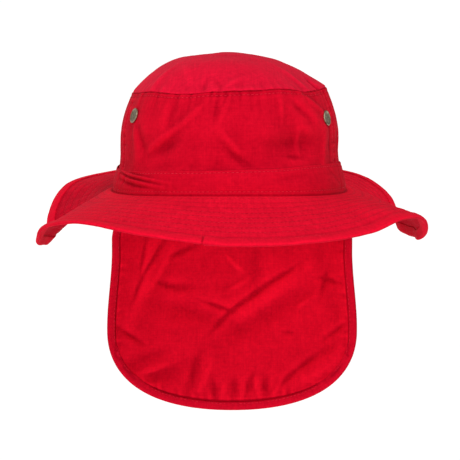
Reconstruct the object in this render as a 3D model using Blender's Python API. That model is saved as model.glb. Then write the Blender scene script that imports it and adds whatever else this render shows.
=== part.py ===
"""Legionnaire hat: a soft cotton crown with a drooping stitched brim and a neck flap at the back.

Metres, +Z up. The hat faces -Y, so +X is on the right of someone who looks at its front. The
origin is the centre of the head opening, level with the two sides of the brim seam. A turn is an
angle round the head in degrees: 0 at +X, 90 at the back, 180 at -X and 270 at the front.
"""

import math

import bmesh
import bpy
from mathutils import Matrix, Vector

MM = 0.001

# Head opening inside the crown wall: 578 mm round, hat size 58
HEAD_WIDTH = 174 * MM
HEAD_LENGTH = 194 * MM
OPENING_SADDLE = 5.5 * MM  # the brim seam runs this much higher at the front and back

# Cloth, and the gap between neighbouring pieces
CROWN_CLOTH = 1.5 * MM
BAND_CLOTH = 1.2 * MM
BRIM_CLOTH = 1.6 * MM
FLAP_CLOTH = 1.0 * MM
TAPE_CLOTH = 1.0 * MM
GAP = 0.3 * MM

# Crown
SIDE_HEIGHT = 75.5 * MM  # from the brim seam to the tip seam, at the sides
TIP_WIDTH = 146 * MM
TIP_LENGTH = 168 * MM
TIP_DOME = 27.5 * MM
TIP_FULLNESS = 2.65  # the power of the dome's curve
TIP_LEAN = 0.6  # more of it at -X, less at +X
TIP_SADDLE = 5.5 * MM  # the tip seam runs this much higher at the front and back
TIP_TILT = 2 * MM  # and this much higher at +X than at the middle
SIDE_SEAM_TURN = 18  # the side seams run this far in front of the hat's sides
BAND_HEIGHT = 18.5 * MM

# Brim, from the crown's inner face to the free edge
BRIM_WIDTH = 76 * MM
BRIM_TAPE_WIDTH = 8 * MM

# Neck flap
FLAP_WIDTH = 216 * MM
FLAP_DROP = 193.5 * MM  # from the brim seam to the hem
FLAP_TUCK = 8 * MM  # the part sewn in above the brim seam
FLAP_INSET = TAPE_CLOTH + 3 * GAP  # inside the crown's inner face
FLAP_CORNER = 72 * MM  # the height of the rounded lower corners
FLAP_CORNER_POWER = 2.1
FLAP_TAPE_WIDTH = 8 * MM
FLAP_RADIUS = 170 * MM  # the bend across the hanging part
FLAP_SWAY = 2.2 * MM  # it hangs this far towards +X
FLAP_RELAX = 46 * MM  # below this drop it no longer follows the head
FLAP_FLARE = 0.047  # how much narrower it hangs in its upper part
FLAP_FLARE_START = 56 * MM  # the drop where it starts to widen
FLAP_FLARE_LENGTH = 64 * MM

# Side snaps
SNAP_DIAMETER = 12.4 * MM
SNAP_HEIGHT = 1.6 * MM
SNAP_RIM = 1.3 * MM
SNAP_DISH = 0.35 * MM
SNAP_POST = 4.0 * MM
SNAP_BACK_DIAMETER = 10 * MM
SNAP_BACK_HEIGHT = 1.0 * MM
SNAP_LEFT = (210, 0.78)  # turn, and share of the side height
SNAP_RIGHT = (331.5, 0.725)
SNAP_CLEARANCE = 0.4 * MM

# Facets
COLUMNS = 80
TIP_ROWS = 4
BAND_ROWS = 2
SIDE_ROWS = 5  # above the band
BRIM_ROWS = 6  # inside the tape
FLAP_COLUMNS = 24
FLAP_ROWS = 13
STEP = 1e-4  # the share used to measure a slope

# The crown's side profile: how far it has drawn in from the opening to the tip at each share of
# its height
PROFILE_COLUMNS = ("rise", "drawn_in")
PROFILE = (
    (0.00, 0.00),
    (0.10, 0.06),
    (0.20, 0.20),
    (0.28, 0.31),
    (0.45, 0.38),
    (0.62, 0.40),
    (0.75, 0.51),
    (0.88, 0.73),
    (1.00, 1.00),
)

# Soft folds of the crown side. Lengths are shares of the side height, and a depth below 0 is a dent.
CROWN_FOLD_COLUMNS = ("turn", "rise", "slant", "length", "width", "depth")
CROWN_FOLDS = (
    (316, 0.84, -48, 0.34, 0.10, 0.030),
    (303, 0.62, -40, 0.30, 0.16, -0.030),
    (297, 0.36, 15, 0.40, 0.14, -0.022),
    (262, 0.55, 55, 0.35, 0.15, 0.018),
    (240, 0.60, 65, 0.35, 0.12, -0.020),
    (215, 0.45, 80, 0.40, 0.12, 0.016),
    (150, 0.50, 70, 0.35, 0.15, -0.022),
    (110, 0.60, 40, 0.40, 0.16, 0.020),
    (75, 0.45, -50, 0.40, 0.16, -0.022),
    (30, 0.55, -70, 0.35, 0.13, 0.018),
)

# The brim's cross-section round the head, in degrees: its droop where it leaves the crown, how
# much further it has curled down at the edge, and how far it leans towards the next turn
BRIM_COLUMNS = ("turn", "droop", "curl", "lean")
BRIM_SECTIONS = (
    (0, 18, 90, 0),
    (12, 21, 84, 0),
    (25, 22, 60, -2),
    (38, 11, 15, -4),
    (52, 3, 0, -3),
    (70, 1, 0, 0),
    (90, 2, 0, 0),
    (110, 2, 0, 2),
    (128, 3, 0, 5),
    (142, 7, 4, 7),
    (155, 23, 6, 5),
    (168, 39, 5, -2),
    (182, 31, 42, -9),
    (194, 26, 46, -8),
    (204, 20, 36, -5),
    (214, 15, 10, -3),
    (230, 12, -5, 0),
    (250, 17, 0, 0),
    (270, 23, 0, 0),
    (290, 22, 0, 0),
    (308, 15, 8, 0),
    (320, 7, 12, 0),
    (331, 8, 18, 0),
    (342, 15, 46, 2),
    (352, 18, 84, 2),
)
CURL_POWER = 4
BEND_SHARE = 0.12  # share of the brim's width in which it bends down from the seam
SECTION_STEPS = 24

# Soft folds of the flap. Lengths are shares of its drop, and a place across is a share of half
# its width.
FLAP_FOLD_COLUMNS = ("across", "down", "slant", "length", "width", "depth")
FLAP_FOLDS = (
    (0.35, 0.55, 32, 0.30, 0.050, 0.016),
    (-0.30, 0.57, -17, 0.25, 0.050, 0.014),
    (0.70, 0.78, 48, 0.22, 0.050, -0.014),
    (-0.60, 0.84, 15, 0.20, 0.050, 0.012),
    (-0.70, 0.42, 75, 0.22, 0.045, -0.014),
    (0.75, 0.40, -80, 0.22, 0.050, 0.012),
)
FOLD_MARGIN = 0.06  # share of the drop over which folds die out towards the tape

# Finishes: colour, metallic, roughness
RED = (0.60, 0.004, 0.020)
FINISHES = {
    "crown_cotton": (RED, 0.0, 0.85),
    "brim_cotton": (RED, 0.0, 0.85),
    "flap_cotton": (RED, 0.0, 0.8),
    "cotton_tape": (RED, 0.0, 0.8),
    "antique_brass": ((0.30, 0.25, 0.17), 1.0, 0.45),
}


def smooth(share):
    share = min(max(share, 0.0), 1.0)
    return share * share * (3 - 2 * share)


def table_rows(columns, rows):
    return [dict(zip(columns, row)) for row in rows]


def read_profile(rise):
    """How far the crown has drawn in at a share of its height, on a smooth curve."""
    rise = min(max(rise, 0.0), 1.0)
    index = max(i for i, row in enumerate(PROFILE[:-1]) if row[0] <= rise)
    return curve_through(PROFILE, index, rise, 1, False)


def curve_through(rows, index, at, column, around):
    """A Catmull-Rom curve through a column of a table, read between two of its rows."""

    def point(i):
        if around:
            return rows[i % len(rows)][0] + 360 * (i // len(rows)), rows[i % len(rows)][column]
        i = min(max(i, 0), len(rows) - 1)
        return rows[i][0], rows[i][column]

    def slope(i):
        (x0, y0), (x1, y1) = point(i - 1), point(i + 1)
        return (y1 - y0) / (x1 - x0)

    (x0, y0), (x1, y1) = point(index), point(index + 1)
    span = x1 - x0
    t = (at - x0) / span
    return (
        y0 * (1 + 2 * t) * (1 - t) ** 2
        + y1 * t * t * (3 - 2 * t)
        + slope(index) * span * t * (1 - t) ** 2
        - slope(index + 1) * span * t * t * (1 - t)
    )


def read_brim(turn, column):
    turn %= 360
    index = max(i for i, row in enumerate(BRIM_SECTIONS) if row[0] <= turn)
    return curve_through(BRIM_SECTIONS, index, turn, column, True)


def on_oval(turn, half_width, half_length):
    angle = math.radians(turn)
    return Vector((half_width * math.cos(angle), half_length * math.sin(angle), 0))


def oval_normal(turn, half_width, half_length):
    angle = math.radians(turn)
    return Vector((math.cos(angle) / half_width, math.sin(angle) / half_length, 0)).normalized()


def opening_level(turn):
    """The height of the brim seam."""
    return OPENING_SADDLE * math.sin(math.radians(turn)) ** 2


def tip_level(turn):
    """The height of the tip seam."""
    angle = math.radians(turn)
    return SIDE_HEIGHT + TIP_SADDLE * math.sin(angle) ** 2 + TIP_TILT * math.cos(angle)


def turn_between(turn, other):
    return (turn - other + 180) % 360 - 180


def crown_fold(turn, rise):
    """How far the folds push the crown side outwards."""
    radius = (HEAD_WIDTH + HEAD_LENGTH) / 4
    total = 0.0
    for fold in table_rows(CROWN_FOLD_COLUMNS, CROWN_FOLDS):
        right = math.radians(turn_between(turn, fold["turn"])) * radius / SIDE_HEIGHT
        up = rise - fold["rise"]
        slant = math.radians(fold["slant"])
        along = right * math.cos(slant) + up * math.sin(slant)
        aside = up * math.cos(slant) - right * math.sin(slant)
        total += fold["depth"] * math.exp(-((along / fold["length"]) ** 2) - (aside / fold["width"]) ** 2)
    seam = smooth((rise * SIDE_HEIGHT - FLAP_TUCK) / BAND_HEIGHT) * smooth((1 - rise) / 0.12)
    return total * SIDE_HEIGHT * seam


def crown_halves(rise):
    """Half the width and half the length inside the crown at a share of its height."""
    drawn_in = read_profile(rise)
    half_width = (HEAD_WIDTH + (TIP_WIDTH - HEAD_WIDTH) * drawn_in) / 2
    half_length = (HEAD_LENGTH + (TIP_LENGTH - HEAD_LENGTH) * drawn_in) / 2
    return half_width, half_length


def crown_face(turn, rise):
    """The crown side's inner face, from the brim seam at rise 0 to the tip seam at rise 1."""
    half_width, half_length = crown_halves(rise)
    point = on_oval(turn, half_width, half_length)
    point += oval_normal(turn, half_width, half_length) * crown_fold(turn, rise)
    point.z = opening_level(turn) * (1 - rise) + tip_level(turn) * rise
    return point


def tip_face(turn, inward):
    """The tip's inner face, from its seam at 0 to its middle at 1."""
    outward = 1 - inward
    point = on_oval(turn, TIP_WIDTH / 2 * outward, TIP_LENGTH / 2 * outward)
    fullness = TIP_FULLNESS - TIP_LEAN * math.cos(math.radians(turn))
    lift = TIP_DOME * (1 - outward**fullness)
    point.z = SIDE_HEIGHT + (tip_level(turn) - SIDE_HEIGHT) * outward**2 + lift
    return point


def brim_face(turn, reach):
    """The brim's top face. Reach is measured along the cloth from the crown's inner face."""
    droop, curl = math.radians(read_brim(turn, 1)), math.radians(read_brim(turn, 2))
    seat = CROWN_CLOTH + GAP + BAND_CLOTH
    bend = BRIM_WIDTH * BEND_SHARE
    out, down = 0.0, 0.0
    for step in range(SECTION_STEPS):
        length = reach * (step + 0.5) / SECTION_STEPS
        slope = droop * smooth((length - seat) / bend) + curl * (length / BRIM_WIDTH) ** CURL_POWER
        out += math.cos(slope) * reach / SECTION_STEPS
        down += math.sin(slope) * reach / SECTION_STEPS
    lean = Matrix.Rotation(math.radians(read_brim(turn, 3)), 3, "Z")
    point = on_oval(turn, HEAD_WIDTH / 2, HEAD_LENGTH / 2)
    point += lean @ oval_normal(turn, HEAD_WIDTH / 2, HEAD_LENGTH / 2) * out
    point.z = opening_level(turn) - GAP - down
    return point


def head_turn(along):
    """The turn at a length along the head opening, measured from the back towards +X."""
    turn, left = 90.0, abs(along)
    half_width, half_length = HEAD_WIDTH / 2 - FLAP_INSET, HEAD_LENGTH / 2 - FLAP_INSET
    steps = 40
    for _ in range(steps):
        angle = math.radians(turn)
        speed = math.hypot(half_width * math.sin(angle), half_length * math.cos(angle))
        turn -= math.degrees(left / steps / speed)
    return turn if along > 0 else 180 - turn


def flap_fold(along, drop):
    total = 0.0
    for fold in table_rows(FLAP_FOLD_COLUMNS, FLAP_FOLDS):
        right = (along - fold["across"] * FLAP_WIDTH / 2) / FLAP_DROP
        up = fold["down"] - drop / FLAP_DROP
        slant = math.radians(fold["slant"])
        ahead = right * math.cos(slant) + up * math.sin(slant)
        aside = up * math.cos(slant) - right * math.sin(slant)
        total += fold["depth"] * math.exp(-((ahead / fold["length"]) ** 2) - (aside / fold["width"]) ** 2)
    edge = flap_hem(along / (FLAP_WIDTH / 2)) - drop
    side = FLAP_WIDTH / 2 - abs(along)
    inside = max(min(edge, side) - FLAP_TAPE_WIDTH, 0.0)
    return total * FLAP_DROP * smooth(inside / (FOLD_MARGIN * FLAP_DROP)) * smooth(drop / FLAP_RELAX)


def flap_hem(across):
    """The drop of the hem at a share of half the flap's width."""
    across = min(abs(across), 1.0)
    corner = (1 - across**FLAP_CORNER_POWER) ** (1 / FLAP_CORNER_POWER)
    return FLAP_DROP - FLAP_CORNER * (1 - corner)


def flap_face(along, drop):
    """The flap's back face: along its width from the middle towards +X, and down from the seam."""
    turn = head_turn(along)
    half_width, half_length = crown_halves(-drop / SIDE_HEIGHT)
    at_head = on_oval(turn, half_width - FLAP_INSET, half_length - FLAP_INSET)
    flared = smooth((drop - FLAP_FLARE_START) / FLAP_FLARE_LENGTH)
    angle = along * (1 - FLAP_FLARE * (1 - flared)) / FLAP_RADIUS
    bend = Vector((math.sin(angle), math.cos(angle) - 1, 0)) * FLAP_RADIUS
    hanging = bend + Vector((FLAP_SWAY, HEAD_LENGTH / 2 - FLAP_INSET, 0))
    free = smooth((drop - BRIM_CLOTH - 2 * GAP) / FLAP_RELAX)
    point = at_head.lerp(hanging, free)
    point.y += flap_fold(along, drop)
    point.z = opening_level(turn) * (1 - free) - drop
    return point


def offset(face, u, v, du, dv, outward):
    """A point of a face pushed off it. The face's u and v directions give the outward side."""
    point = face(u, v)
    if outward == 0:
        return point
    ahead, aside = face(u + du, v) - face(u - du, v), face(u, v + dv) - face(u, v - dv)
    return point + ahead.cross(aside).normalized() * outward


def crown_point(turn, rise, outward):
    return offset(crown_face, turn, rise, 0.05, STEP, outward)


def tip_point(turn, inward, outward):
    if inward > 1 - 1e-6:
        return tip_face(turn, 1) + Vector((0, 0, outward))
    return offset(tip_face, turn, inward, 0.05, STEP, outward)


def brim_point(turn, reach, outward):
    return offset(brim_face, turn, reach, 0.05, STEP, -outward)


def flap_point(along, drop, inward):
    return offset(flap_face, along, drop, STEP, STEP, -inward)


def finish(name):
    material = bpy.data.materials.get(name)
    if material:
        return material
    colour, metallic, roughness = FINISHES[name]
    material = bpy.data.materials.new(name)
    material.use_nodes = True
    shader = material.node_tree.nodes["Principled BSDF"]
    shader.inputs["Base Color"].default_value = (*colour, 1)
    shader.inputs["Metallic"].default_value = metallic
    shader.inputs["Roughness"].default_value = roughness
    return material


def add_object(name, bm, material):
    bmesh.ops.recalc_face_normals(bm, faces=bm.faces)
    mesh = bpy.data.meshes.new(name)
    bm.to_mesh(mesh)
    bm.free()
    mesh.shade_smooth()
    mesh.set_sharp_from_angle(angle=math.radians(40))
    mesh.materials.append(finish(material))
    made = bpy.data.objects.new(name, mesh)
    bpy.context.scene.collection.objects.link(made)
    return made


def spaced(first, last, count):
    return [first + (last - first) * i / count for i in range(count + 1)]


def join_rows(bm, rows, around, mirrored=()):
    """Triangles between rows of vertices. Around joins each row's last vertex to its first. The
    columns that are named as mirrored have their diagonals the other way."""
    for row, following in zip(rows, rows[1:]):
        count = len(row)
        for i in range(count if around else count - 1):
            j = (i + 1) % count
            if i in mirrored:
                halves = (row[j], following[j], following[i]), (row[j], following[i], row[i])
            else:
                halves = (row[i], row[j], following[j]), (row[i], following[j], following[i])
            for corners in halves:
                if len(set(corners)) == 3:
                    bm.faces.new(corners)


def cloth(name, place, us, vs, inner, outer, material, around=False, pole=False):
    """A sheet of cloth: two skins on a face, one at each offset, joined along their free edges."""
    bm = bmesh.new()
    skins = []
    for off in (inner, outer):
        skin = [[bm.verts.new(place(u, v, off)) for u in us] for v in (vs[:-1] if pole else vs)]
        if pole:
            skin.append([bm.verts.new(place(us[0], vs[-1], off))] * len(us))
        join_rows(bm, skin, around)
        skins.append(skin)
    low, high = skins
    join_rows(bm, [low[0], high[0]], around)
    if not pole:
        join_rows(bm, [low[-1], high[-1]], around)
    if not around:
        for side in (0, -1):
            join_rows(bm, [[row[side] for row in low], [row[side] for row in high]], False)
    return add_object(name, bm, material)


def tape(name, stations, section, material, around):
    """A folded tape: its closed section swept through stations, capped where it isn't a ring."""
    bm = bmesh.new()
    rings = [[bm.verts.new(point) for point in section(station)] for station in stations]
    if around:
        rings.append(rings[0])
    join_rows(bm, rings, True, mirrored=TAPE_MIRRORED)
    if not around:
        bm.faces.new(rings[0])
        bm.faces.new(rings[-1])
    return add_object(name, bm, material)


# The columns of a tape that run inward from its fold: their diagonals match the cloth's
TAPE_MIRRORED = (2, 6)


def tape_section(width, cloth_thickness):
    """The section of a tape folded over an edge, as (inward from its fold, outward from the face)."""
    inner_top, outer_top = GAP, GAP + TAPE_CLOTH
    inner_under, outer_under = -cloth_thickness - GAP, -cloth_thickness - GAP - TAPE_CLOTH
    return (
        (width, inner_top),
        (TAPE_CLOTH, inner_top),
        (TAPE_CLOTH, inner_under),
        (width, inner_under),
        (width, outer_under),
        (0.0, outer_under),
        (0.0, outer_top),
        (width, outer_top),
    )


def crown_rows():
    top_of_band = BAND_HEIGHT / SIDE_HEIGHT
    return spaced(0, top_of_band, BAND_ROWS) + spaced(top_of_band, 1 - GAP / SIDE_HEIGHT, SIDE_ROWS)[1:]


def build_crown():
    seam_gap = math.degrees(GAP / HEAD_WIDTH)
    left, right = 180 + SIDE_SEAM_TURN, 360 - SIDE_SEAM_TURN
    columns = round(COLUMNS * (right - left) / 360)
    front = spaced(left + seam_gap, right - seam_gap, columns)
    back = spaced(right + seam_gap - 360, left - seam_gap, COLUMNS - columns)
    panels = [
        cloth("crown_front", crown_point, front, crown_rows(), 0, CROWN_CLOTH, "crown_cotton"),
        cloth("crown_back", crown_point, back, crown_rows(), 0, CROWN_CLOTH, "crown_cotton"),
    ]
    around = spaced(0, 360, COLUMNS)[:-1]
    inward = spaced(2 * GAP / TIP_WIDTH, 1, TIP_ROWS)
    cloth("crown_tip", tip_point, around, inward, 0, CROWN_CLOTH, "crown_cotton", around=True, pole=True)
    return panels[0]


def build_band():
    around = spaced(0, 360, COLUMNS)[:-1]
    rows = spaced(0, BAND_HEIGHT / SIDE_HEIGHT, BAND_ROWS)
    inner = CROWN_CLOTH + GAP
    cloth("band", crown_point, around, rows, inner, inner + BAND_CLOTH, "crown_cotton", around=True)


def build_brim():
    around = spaced(0, 360, COLUMNS)[:-1]
    rows = spaced(0, BRIM_WIDTH - BRIM_TAPE_WIDTH, BRIM_ROWS) + [BRIM_WIDTH - TAPE_CLOTH - GAP]
    cloth("brim", brim_point, around, rows, -BRIM_CLOTH, 0, "brim_cotton", around=True)
    section = tape_section(BRIM_TAPE_WIDTH, BRIM_CLOTH)
    tape(
        "brim_tape",
        around,
        lambda turn: [brim_point(turn, BRIM_WIDTH - inward, off) for inward, off in section],
        "cotton_tape",
        True,
    )


def flap_edge(share):
    """A point of the flap's free edge in the flat, and the way out of it. Shares run from the top
    at -X, at -1, round the hem to the top at +X, at 1."""
    half = FLAP_WIDTH / 2
    side_end = 0.5
    side = math.copysign(1, share)
    if abs(share) >= side_end:
        down = (1 - abs(share)) / (1 - side_end)
        return Vector((side * half, -FLAP_TUCK + (FLAP_TUCK + flap_hem(1)) * down)), Vector((side, 0))
    across = math.sin(share / side_end * math.pi / 2)
    here = Vector((across * half, flap_hem(across)))
    slope = (flap_hem(across + STEP) - flap_hem(across - STEP)) / (2 * STEP * half)
    if 1 - abs(across) < STEP:
        return here, Vector((side, 0))
    return here, Vector((-slope, 1)).normalized()


def flap_stations():
    sides = spaced(-1, -0.5, FLAP_ROWS)[:-1], spaced(0.5, 1, FLAP_ROWS)[1:]
    return sides[0] + spaced(-0.5, 0.5, FLAP_COLUMNS) + sides[1]


def inside_edge(share, inset):
    here, out = flap_edge(share)
    return here - out * inset


def build_flap():
    stations = flap_stations()
    under_tape = [inside_edge(share, FLAP_TAPE_WIDTH) for share in stations]
    edge = [inside_edge(share, TAPE_CLOTH + GAP) for share in stations]

    bm = bmesh.new()
    middle = under_tape[FLAP_ROWS : FLAP_ROWS + FLAP_COLUMNS + 1]
    grid = []
    for down in spaced(0, 1, FLAP_ROWS):
        drops = [-FLAP_TUCK + (FLAP_TUCK + foot.y) * down for foot in middle]
        grid.append([bm.verts.new((foot.x, drop, 0)) for foot, drop in zip(middle, drops)])
    join_rows(bm, grid, False)
    border = [row[0] for row in grid] + grid[-1][1:-1] + [row[-1] for row in reversed(grid)]
    join_rows(bm, [border, [bm.verts.new(point.to_3d()) for point in edge]], False)

    near = list(bm.verts)
    far = bmesh.ops.extrude_face_region(bm, geom=list(bm.faces), use_keep_orig=True)["geom"]
    far = [item for item in far if isinstance(item, bmesh.types.BMVert)]
    for vert in near:
        vert.co = flap_point(vert.co.x, vert.co.y, 0)
    for vert in far:
        vert.co = flap_point(vert.co.x, vert.co.y, FLAP_CLOTH)
    add_object("neck_flap", bm, "flap_cotton")

    section = tape_section(FLAP_TAPE_WIDTH, FLAP_CLOTH)

    def place(share):
        points = [(inside_edge(share, inward), off) for inward, off in section]
        return [flap_point(point.x, point.y, -off) for point, off in points]

    tape("flap_tape", stations, place, "cotton_tape", False)


def snap_profile():
    """Radius and height of the snap's outline, from the cap's middle down to the back plate's."""
    cap, post, back = SNAP_DIAMETER / 2, SNAP_POST / 2, SNAP_BACK_DIAMETER / 2
    under_cap = SNAP_CLEARANCE
    inside = -CROWN_CLOTH - SNAP_CLEARANCE
    return (
        (0, under_cap + SNAP_HEIGHT - SNAP_DISH),
        (cap - SNAP_RIM, under_cap + SNAP_HEIGHT - SNAP_DISH),
        (cap - SNAP_RIM / 2, under_cap + SNAP_HEIGHT),
        (cap, under_cap + SNAP_HEIGHT / 2),
        (cap, under_cap),
        (post, under_cap),
        (post, inside),
        (back, inside),
        (back, inside - SNAP_BACK_HEIGHT),
        (0, inside - SNAP_BACK_HEIGHT),
    )


def on_crown(turn, rise):
    """The place and the turning of an axis that stands on the crown's outer face."""
    foot, tip = crown_point(turn, rise, CROWN_CLOTH), crown_point(turn, rise, 2 * CROWN_CLOTH)
    turning = (tip - foot).to_track_quat("Z", "Y").to_matrix().to_4x4()
    turning.translation = foot
    return turning


def build_snap(name, seat, wall):
    bm = bmesh.new()
    points = [bm.verts.new((radius, 0, height)) for radius, height in snap_profile()]
    edges = [bm.edges.new(pair) for pair in zip(points, points[1:])]
    bmesh.ops.spin(
        bm, geom=points + edges, axis=(0, 0, 1), cent=(0, 0, 0), angle=2 * math.pi, steps=16, use_merge=True
    )
    bmesh.ops.remove_doubles(bm, verts=bm.verts, dist=MM / 100)
    snap = add_object(name, bm, "antique_brass")
    snap.matrix_world = on_crown(*seat)

    bm = bmesh.new()
    radius = SNAP_POST / 2 + GAP
    bmesh.ops.create_cone(
        bm, cap_ends=True, segments=12, radius1=radius, radius2=radius, depth=6 * CROWN_CLOTH
    )
    punch = add_object(name + "_hole", bm, "antique_brass")
    punch.matrix_world = snap.matrix_world
    punch.hide_render = True
    punch.display_type = "WIRE"
    hole = wall.modifiers.new(name + "_hole", "BOOLEAN")
    hole.operation = "DIFFERENCE"
    hole.solver = "EXACT"
    hole.object = punch


def main():
    for old in list(bpy.data.objects):
        bpy.data.objects.remove(old)
    front = build_crown()
    build_band()
    build_brim()
    build_flap()
    build_snap("snap_left", SNAP_LEFT, front)
    build_snap("snap_right", SNAP_RIGHT, front)


main()
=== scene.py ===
import math

import bmesh
import bpy
import numpy as np
from mathutils import Matrix, Vector


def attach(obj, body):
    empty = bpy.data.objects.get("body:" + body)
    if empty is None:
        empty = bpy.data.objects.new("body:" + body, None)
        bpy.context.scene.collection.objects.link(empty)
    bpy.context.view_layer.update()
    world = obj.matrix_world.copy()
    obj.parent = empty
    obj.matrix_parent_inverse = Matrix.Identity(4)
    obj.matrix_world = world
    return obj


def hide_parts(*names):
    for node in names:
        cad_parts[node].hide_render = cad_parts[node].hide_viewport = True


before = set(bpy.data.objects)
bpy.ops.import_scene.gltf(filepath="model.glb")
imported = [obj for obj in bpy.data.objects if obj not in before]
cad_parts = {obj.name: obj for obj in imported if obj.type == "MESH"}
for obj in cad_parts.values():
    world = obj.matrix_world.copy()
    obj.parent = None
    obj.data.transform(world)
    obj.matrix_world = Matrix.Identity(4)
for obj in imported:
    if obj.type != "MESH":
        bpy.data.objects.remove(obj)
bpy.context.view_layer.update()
print("frame loaded:", ", ".join(sorted(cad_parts)))

mm = 0.001

# All sizes below are in mm and degrees. A turn is an angle round the head: 0 at +X, 90 at the
# back, 180 at -X, 270 at the front. A rise is a share of the crown side's height.


# Rises softly from 0 to 1
def smooth(share):
    share = np.clip(share, 0, 1)
    return share * share * (3 - 2 * share)


# A smooth curve through one column of a table, read at many places at once
def curveThrough(rows, column, at, around=False):
    xs, ys = np.array([row[0] for row in rows], float), np.array([row[column] for row in rows], float)
    if around:
        at = at % 360
        xs, ys = np.concatenate([xs[-2:] - 360, xs, xs[:3] + 360]), np.concatenate([ys[-2:], ys, ys[:3]])
    else:
        at = np.clip(at, xs[0], xs[-1])
    padX, padY = np.pad(xs, 1, mode="edge"), np.pad(ys, 1, mode="edge")
    slopes = (padY[2:] - padY[:-2]) / (padX[2:] - padX[:-2])
    i = np.clip(np.searchsorted(xs, at, side="right") - 1, 0, len(xs) - 2)
    span = xs[i + 1] - xs[i]
    t = (at - xs[i]) / span
    ends = ys[i] * (1 + 2 * t) * (1 - t) ** 2 + ys[i + 1] * t * t * (3 - 2 * t)
    return ends + slopes[i] * span * t * (1 - t) ** 2 - slopes[i + 1] * span * t * t * (1 - t)


def turnBetween(turn, other):
    return (turn - other + 180) % 360 - 180


# 1 on a line, and fading out on both sides of it
def ridge(off, width):
    return np.exp(-((off / width) ** 2))


# Soft random lumps between -1 and 1. The first direction repeats after a number of cells, so
# that a pattern closes round the head.
def lumps(across, up, cells, seed, rows=97):
    table = np.random.default_rng(seed).uniform(-1, 1, (cells, rows))
    i, j = np.floor(across).astype(int), np.floor(up).astype(int)
    s, t = smooth(across - i), smooth(up - j)
    low = table[i % cells, j % rows] * (1 - s) + table[(i + 1) % cells, j % rows] * s
    high = table[i % cells, (j + 1) % rows] * (1 - s) + table[(i + 1) % cells, (j + 1) % rows] * s
    return low * (1 - t) + high * t


# A field of folds, each one a long bump or dent. across() and up() say how far every point lies
# from a fold's place. Keen, where a row has it, is 0 for a soft swell and 1 for a sharp crease.
def foldField(folds, across, up):
    total = 0.0
    for atAcross, atUp, slant, length, width, depth, *keen in folds:
        right, high = across(atAcross), up(atUp)
        angle = math.radians(slant)
        along = right * math.cos(angle) + high * math.sin(angle)
        aside = np.abs(high * math.cos(angle) - right * math.sin(angle))
        total += depth * np.exp(-((along / length) ** 2) - (aside / width) ** (2 - sum(keen)))
    return total


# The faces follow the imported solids. Each piece's sizes stand in one table, and its fine relief
# is laid on its face further down.
head = {"width": 174, "length": 194, "saddle": 5.5}

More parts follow.
